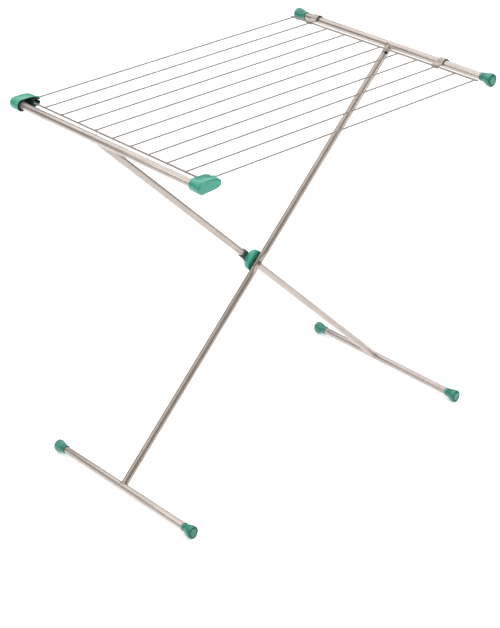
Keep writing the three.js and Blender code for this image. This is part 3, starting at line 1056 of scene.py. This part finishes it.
# ---- Clips -------------------------------------------------------------------------------------
@dataclass
class Clips:
    """The clips on the hook rod that snap over the hook bar."""

    nylon: bpy.types.Material
    # The near-black nylon that paints shade into the cored ends and against the bar.
    inside: bpy.types.Material
    width: float = 20.0
    hook_inner: float = 10.5
    hook_thickness: float = 3.4
    grip_inner: float = 2.8
    grip_thickness: float = 2.0
    tip_angle: float = -24.0
    core_wall: float = 0.45
    core_depth: float = 7.0

    def arc(
        self, name: str, centre: float, inner: float, thickness: float, angles: tuple[float, float]
    ) -> bpy.types.Object:
        """A bent strip round an axis along Y.

        Args:
            name: Its name.
            centre: The axis's X from the bar's axis, in millimetres.
            inner: Its inner radius.
            thickness: Its thickness.
            angles: From and to, in degrees.

        Returns:
            The strip.
        """
        steps = max(8, round(abs(angles[1] - angles[0]) / 6))
        half = self.width / 2
        rings = []
        for step in range(steps + 1):
            angle = math.radians(angles[0] + (angles[1] - angles[0]) * step / steps)
            ray = Vector((math.cos(angle), 0, math.sin(angle)))
            corners = ((inner, -half), (inner + thickness, -half), (inner + thickness, half), (inner, half))
            base = Vector((centre, 0, 0))
            rings.append([(base + ray * distance + Vector((0, y, 0))) * MM for distance, y in corners])
        return lofted(name, rings)

    def build(self) -> None:
        """Model one clip about the bar's axis and place both."""
        bar = middle("hook_bar")
        rod = (middle("hook_rod").x - bar.x) / MM
        clip = self.arc("clip", 0, self.hook_inner, self.hook_thickness, (self.tip_angle, 186))
        half = self.width / 2
        inner = self.hook_inner
        arm = [
            (rod + self.grip_inner + 0.6, -1.0), (-inner - 0.4, -1.0),
            (-inner + 0.2, 5.4), (rod + self.grip_inner + 0.4, 3.6),
        ]
        combine(clip, slab("arm", arm, -half + 0.01, half - 0.01), "UNION")
        grip = self.arc("grip", rod, self.grip_inner, self.grip_thickness, (-125, 125))
        combine(clip, grip, "UNION")
        for x, radius in ((0, inner - 0.05), (rod, self.grip_inner - 0.02)):
            low, high = Vector((x, -half - 5, 0)) * MM, Vector((x, half + 5, 0)) * MM
            cut = rod_between("cut", low, high, radius, 96)
            combine(clip, cut, "DIFFERENCE")
        soften(clip, 0.4, 2, 45)
        # Both ends are cored out, which leaves a thin wall round a deep hollow, whose faces get painted shade
        # below.
        for way in (-1, 1):
            core = self.arc(
                "core", 0, self.hook_inner + self.core_wall, self.hook_thickness - 2 * self.core_wall,
                (self.tip_angle + 4, 176),
            )
            core.data.transform(Matrix.Translation((0, way * (self.width - self.core_depth) * MM, 0)))
            combine(clip, core, "DIFFERENCE")
        for name in ("hook_clip_near", "hook_clip_far"):
            piece = copied(clip, name, Matrix.Translation((bar.x, middle(name).y, bar.z)))
            smooth(piece, 35)
            dress(piece, Body.GRID, Slot.CLIP, self.nylon, name)
            y = middle(name).y

            def cored(centre: Vector, normal: Vector, y: float = y) -> bool:
                """Whether a face lies within the ring, behind its end faces or against the bar, where shade
                is painted.
                """
                radius = math.hypot(centre.x - bar.x, centre.z - bar.z) / MM
                behind = abs(centre.y - y) / MM < half - 0.3
                in_core = self.hook_inner + 0.2 < radius < self.hook_inner + self.hook_thickness - 0.2
                return (behind and in_core) or radius < self.hook_inner + 0.2

            # The cored ends and the faces against the bar get near-black nylon as painted shade.
            two_toned(piece, self.inside, cored)
        bpy.data.objects.remove(clip, do_unlink=True)


# ---- Hub and pivot -----------------------------------------------------------------------------
@dataclass
class Hub:
    """The hub on the inner leg and the bolt that both legs turn on."""

    green: bpy.types.Material
    # The dark green that paints shade into the recess and onto the sleeve.
    inside: bpy.types.Material
    zinc: bpy.types.Material
    radius: float = 29.0
    straight_edge: float = 6.0
    plate: float = 9.5
    recess: float = 5.0
    boss: float = 13.0
    sleeve: float = 12.0
    sleeve_half: float = 38.0
    bore: float = 9.8
    hole: float = 3.3
    edge: float = 1.6

    def half_disc(self, inset: float, turn: float) -> list[tuple[float, float]]:
        """The raised half's outline, drawn in by an inset.

        Args:
            inset: In millimetres.
            turn: The angle of its middle, in radians.

        Returns:
            (x, z) points.
        """
        radius, edge = self.radius - inset, self.straight_edge + inset
        half = math.acos(edge / radius)
        return [
            (radius * math.cos(turn + half * share), radius * math.sin(turn + half * share))
            for share in (2 * step / 48 - 1 for step in range(49))
        ]

    def build(self) -> None:
        """Model the hub and the pivot's hardware."""
        pivot = pivot_place()
        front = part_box("hub_housing")[0][1] / MM
        plate_face = front + self.recess
        leg_y = middle("inner_leg").y / MM
        rise = middle("hook_bar") - middle("outer_foot_bar")
        turn = math.atan2(rise.z, rise.x) + math.pi / 2
        back = leg_y + self.sleeve
        e = self.edge
        depth = self.plate
        disc = [(0, self.radius - e)]
        for k in range(1, 6):
            angle = math.radians(90 * k / 5)
            disc.append((e * (1 - math.cos(angle)), self.radius - e * (1 - math.sin(angle))))
        disc += [(depth - height, radius) for height, radius in reversed(disc)]
        origin = Vector((0, plate_face, 0)) * MM
        hub = place(turned("hub_housing", disc, 96), along(origin, origin + Vector((0, 1, 0))))
        rings = [(0, plate_face + 1.5), (0, front + e)]
        for k in range(1, 6):
            angle = math.radians(90 * k / 5)
            rings.append((e * (1 - math.cos(angle)), front + e * (1 - math.sin(angle))))
        raised = [[Vector((x, y, z)) * MM for x, z in self.half_disc(inset, turn)] for inset, y in rings]
        combine(hub, lofted("raised", raised), "UNION")

        def on_axis(y: float) -> Vector:
            """A point on the pivot's axis."""
            return Vector((0, y, 0)) * MM

        combine(hub, rod_between("boss", on_axis(plate_face + 2), on_axis(back), self.boss, 64), "UNION")
        slope = middle("hinge_bar") - middle("inner_foot_bar")
        slope.y = 0
        slope.normalize()
        low = on_axis(leg_y) - slope * self.sleeve_half * MM
        high = on_axis(leg_y) + slope * self.sleeve_half * MM
        length = 2 * self.sleeve_half
        profile = [(0, self.sleeve - 0.7), (0.2, self.sleeve - 0.2), (0.7, self.sleeve)]
        profile += [(length - h, r) for h, r in reversed(profile)]
        combine(hub, place(turned("sleeve", profile, 64), along(low, high)), "UNION")
        bore = rod_between("bore", low - slope * 0.05, high + slope * 0.05, self.bore, 64)
        combine(hub, bore, "DIFFERENCE")
        combine(hub, rod_between("hole", on_axis(-60), on_axis(90), self.hole, 32), "DIFFERENCE")
        hub.data.transform(Matrix.Translation((pivot.x, 0, pivot.z)))
        smooth(hub, 32)
        dress(hub, Body.INNER, Slot.GREEN, self.green, "hub_housing")

        def in_painted_shade(centre: Vector, normal: Vector) -> bool:
            """Whether a face is the recess beside the leg, the sleeve, or behind the plate, where shade is
            painted.
            """
            depth_in = centre.y / MM - plate_face
            if math.hypot(centre.x - pivot.x, centre.z - pivot.z) / MM > self.radius + 0.3:
                return True
            return (abs(depth_in) < 0.3 and normal.y < -0.9) or depth_in > self.plate + 0.1

        # The recess beside the leg, the sleeve and the rear get the dark green as painted shade.
        two_toned(hub, self.inside, in_painted_shade)
        self.hardware(pivot)

    def hardware(self, pivot: Vector) -> None:
        """The bolt, washers, spacer and nut.

        Args:
            pivot: The pivot's place.
        """
        for name, body in (
            ("pivot_washer_front", Body.OUTER),
            ("pivot_washer_rear", Body.INNER),
            ("pivot_spacer", Body.INNER),
        ):
            size = span(name) / MM
            outer, thick = size.x / 2, size.y
            rings = [(0.0, outer - 0.25), (0.25, outer), (thick - 0.25, outer), (thick, outer - 0.25)]
            ring = turned(name, rings, 48)
            start = Vector((pivot.x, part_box(name)[0][1], pivot.z))
            place(ring, along(start, start + Vector((0, 1, 0))))
            reach = Vector((0, 0.1, 0))
            combine(ring, rod_between("hole", start - reach, start + reach, self.hole, 32), "DIFFERENCE")
            smooth(ring, 35)
            dress(ring, body, Slot.ZINC, self.zinc, name)
        size = span("pivot_bolt") / MM
        head, shank, length = size.x / 2, 3.0, size.y
        # The head is a low dome with a driving recess; the shank ends in a chamfer.
        profile = [(1.3, 1.6), (0.35, 1.9), (0.2, 2.3)]
        profile += [(0.5, head - 1.9), (1.1, head - 0.7), (1.8, head - 0.1)]
        profile += [(2.6, head), (2.6, shank), (length - 0.6, shank), (length, shank - 0.6)]
        bolt = turned("pivot_bolt", profile, 48)
        start = Vector((pivot.x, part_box("pivot_bolt")[0][1], pivot.z))
        place(bolt, along(start, start + Vector((0, 1, 0))))
        smooth(bolt, 35)
        dress(bolt, Body.INNER, Slot.ZINC, self.zinc, "pivot_bolt")
        size = span("pivot_nut") / MM
        across, high = max(size.x, size.z) / 2, size.y
        profile = [(0, across - 0.6), (0.35, across), (high - 0.35, across), (high, across - 0.6)]
        nut = turned("pivot_nut", profile, 6)
        start = Vector((pivot.x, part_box("pivot_nut")[0][1], pivot.z))
        place(nut, along(start, start + Vector((0, 1, 0))))
        reach = Vector((0, 0.1, 0))
        combine(nut, rod_between("thread", start - reach, start + reach, shank + 0.15, 32), "DIFFERENCE")
        smooth(nut, 30)
        dress(nut, Body.INNER, Slot.ZINC, self.zinc, "pivot_nut")


# ---- Studio ------------------------------------------------------------------------------------
@dataclass
class Studio:
    """The pale floor, the soft lights and the camera."""

    camera_at: Vector = field(default_factory=lambda: Vector((-2.8688, -3.1870, 2.6615)))
    azimuth: float = 41.688
    elevation: float = 28.248
    roll: float = -0.7385
    lens: float = 104.46
    shift: tuple[float, float] = (-0.0019, -0.0032)

    def camera(self) -> None:
        """Create the camera and make it the scene's."""
        data = bpy.data.cameras.new("camera")
        data.lens = self.lens
        data.sensor_width = 36
        data.shift_x, data.shift_y = self.shift
        data.clip_end = 50
        camera = bpy.data.objects.new("camera", data)
        bpy.context.scene.collection.objects.link(camera)
        turn, tilt = math.radians(self.azimuth), math.radians(self.elevation)
        ahead = Vector((math.sin(turn) * math.cos(tilt), math.cos(turn) * math.cos(tilt), -math.sin(tilt)))
        level = ahead.to_track_quat("-Z", "Y").to_matrix()
        rotation = level @ Matrix.Rotation(math.radians(self.roll), 3, "Z")
        camera.matrix_world = Matrix.Translation(self.camera_at) @ rotation.to_4x4()
        bpy.context.scene.camera = camera

    def floor(self) -> None:
        """A pale matt floor, far larger than the rack."""
        free_hands()
        bpy.ops.mesh.primitive_plane_add(size=60, location=(0, 0, 0))
        floor = started("floor")
        paint = bpy.data.materials.new("matt_white_floor")
        paint.use_nodes = True
        shader = paint.node_tree.nodes["Principled BSDF"]
        shader.inputs["Base Color"].default_value = linear("#ffffff")
        shader.inputs["Roughness"].default_value = 0.9
        shader.inputs["Specular IOR Level"].default_value = 0.1
        shader.inputs["Emission Color"].default_value = (1, 1, 1, 1)
        shader.inputs["Emission Strength"].default_value = 0.35
        floor.data.materials.append(paint)

    def light(self, name: str, at: tuple[float, float, float], size: float, watts: float) -> None:
        """A square soft light that faces the rack's middle.

        Args:
            name: Its name.
            at: Its place, in metres.
            size: Its side, in metres.
            watts: Its power.
        """
        data = bpy.data.lights.new(name, "AREA")
        data.energy = watts
        data.size = size
        lamp = bpy.data.objects.new(name, data)
        bpy.context.scene.collection.objects.link(lamp)
        aim = Vector((0, 0, 0.5)) - Vector(at)
        lamp.matrix_world = Matrix.Translation(at) @ aim.to_track_quat("-Z", "Y").to_matrix().to_4x4()

    def build(self) -> None:
        """Set the floor, the lights, the air's glow and the camera."""
        self.camera()
        self.floor()
        self.light("top_softbox", (0.4, 0.8, 3.8), 6.5, 165)
        self.light("left_softbox", (-3.2, 1.2, 2.6), 1.8, 22)
        self.light("front_softbox", (1.6, -3.8, 1.3), 1.4, 26)
        world = bpy.data.worlds.new("white_studio")
        world.use_nodes = True
        back = world.node_tree.nodes["Background"]
        back.inputs["Color"].default_value = (1, 1, 1, 1)
        # The room is darker near the horizon, which draws the long dark line down each tube.
        way = add_node(world.node_tree, "ShaderNodeTexCoord").outputs["Generated"]
        height = add_node(world.node_tree, "ShaderNodeSeparateXYZ", inputs={"Vector": way}).outputs["Z"]
        glow = add_node(
            world.node_tree,
            "ShaderNodeMapRange",
            inputs={"Value": height, "From Min": 0.12, "From Max": 0.42, "To Min": 0.1, "To Max": 0.64},
        )
        # Looked at directly, the room is plain white all over.
        seen = add_node(world.node_tree, "ShaderNodeLightPath").outputs["Is Camera Ray"]
        strength = add_node(
            world.node_tree, "ShaderNodeMix", inputs={0: seen, 2: glow.outputs["Result"], 3: 1.0}
        )
        world.node_tree.links.new(strength.outputs[0], back.inputs["Strength"])
        bpy.context.scene.world = world
        bpy.context.scene.view_settings.view_transform = "Standard"


def main() -> None:
    """Build every sub-assembly in order."""
    Studio().build()
    pearl, grey = PEARL_ENAMEL.material(), GREY_ENAMEL.material()
    green = GREEN_PLASTIC.material()
    TubeFrame(pearl, grey).build()
    inside = GREEN_PAINTED_SHADE.material()
    EndCaps(GREEN_CAPS.material(), inside).build()
    CornerCaps(green, inside).build()
    WireGrid(WIRE_ENAMEL.material()).build()
    Clips(CLIP_NYLON.material(), NYLON_PAINTED_SHADE.material()).build()
    Hub(green, inside, ZINC_STEEL.material()).build()


if __name__ == "__main__":
    main()
